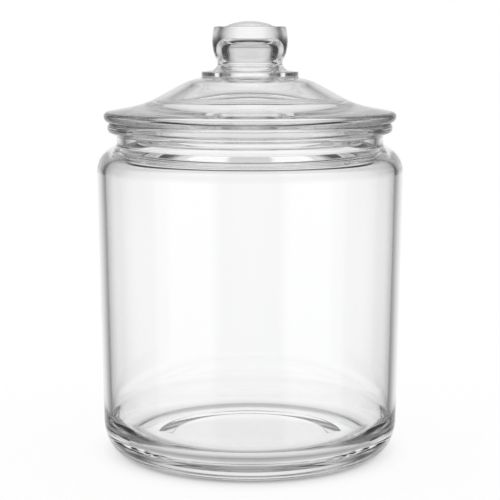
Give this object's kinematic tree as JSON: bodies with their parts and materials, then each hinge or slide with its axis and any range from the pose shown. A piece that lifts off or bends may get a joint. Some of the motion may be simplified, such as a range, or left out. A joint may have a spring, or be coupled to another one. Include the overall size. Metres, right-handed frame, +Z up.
{
  "type": "glass biscuit jar with lid",
  "caption": "Empty clear glass biscuit jar: straight round body, thick pushed-up base, beaded rim, and a loose domed glass lid with a skirt and a hollow barrel knob.",
  "frame": {"origin": "middle of the foot, on the surface that the jar stands on", "axes": "+Z up along the axis that both pieces are turned about; the part is round, so X and Y are free"},
  "size_m": [0.178, 0.178, 0.2521],
  "materials": {
    "clear_glass": "clear colourless pressed glass, fire-polished"
  },
  "bodies": {
    "root": {"jar": "clear_glass", "lid": "clear_glass"}
  },
  "joints": []
}
